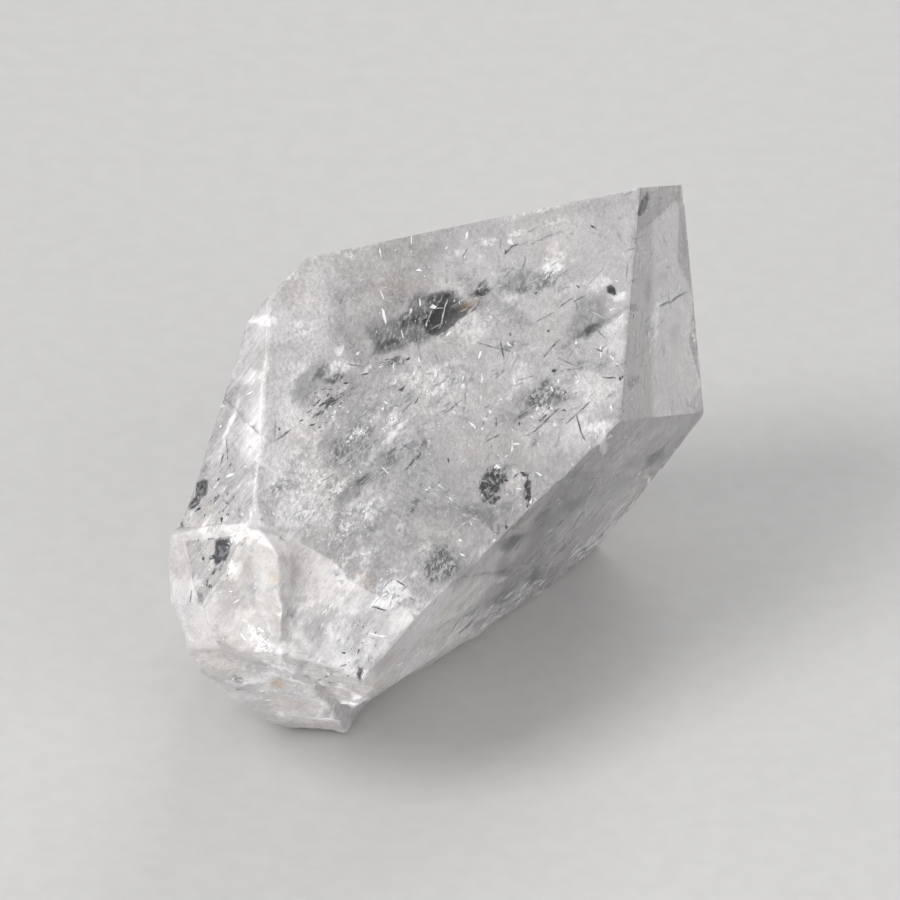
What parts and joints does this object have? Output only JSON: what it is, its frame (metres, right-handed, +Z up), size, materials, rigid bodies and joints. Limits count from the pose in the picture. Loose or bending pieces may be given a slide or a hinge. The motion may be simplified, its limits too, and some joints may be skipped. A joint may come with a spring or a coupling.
{
  "type": "quartz crystal",
  "caption": "Clear quartz point with a six-sided prism, a steep pointed end and a rough broken base with a smaller growth fused to its side, lying on that base as a display specimen.",
  "frame": {"origin": "centre of the crystal's box seen from above, at the level of the surface that it rests on", "axes": "+Z up from that surface; +Y level, along the way that the pointed end leans when it is seen from its broad front; +X to the right of that front, so the point is at +X +Y +Z and the broken base at -X -Y"},
  "size_m": [0.0672, 0.083, 0.0624],
  "materials": {
    "clear_quartz": "clear with milky veils and inner fractures; flat glossy faces, rough breaks"
  },
  "bodies": {
    "root": {"quartz_crystal": "clear_quartz"}
  },
  "joints": []
}
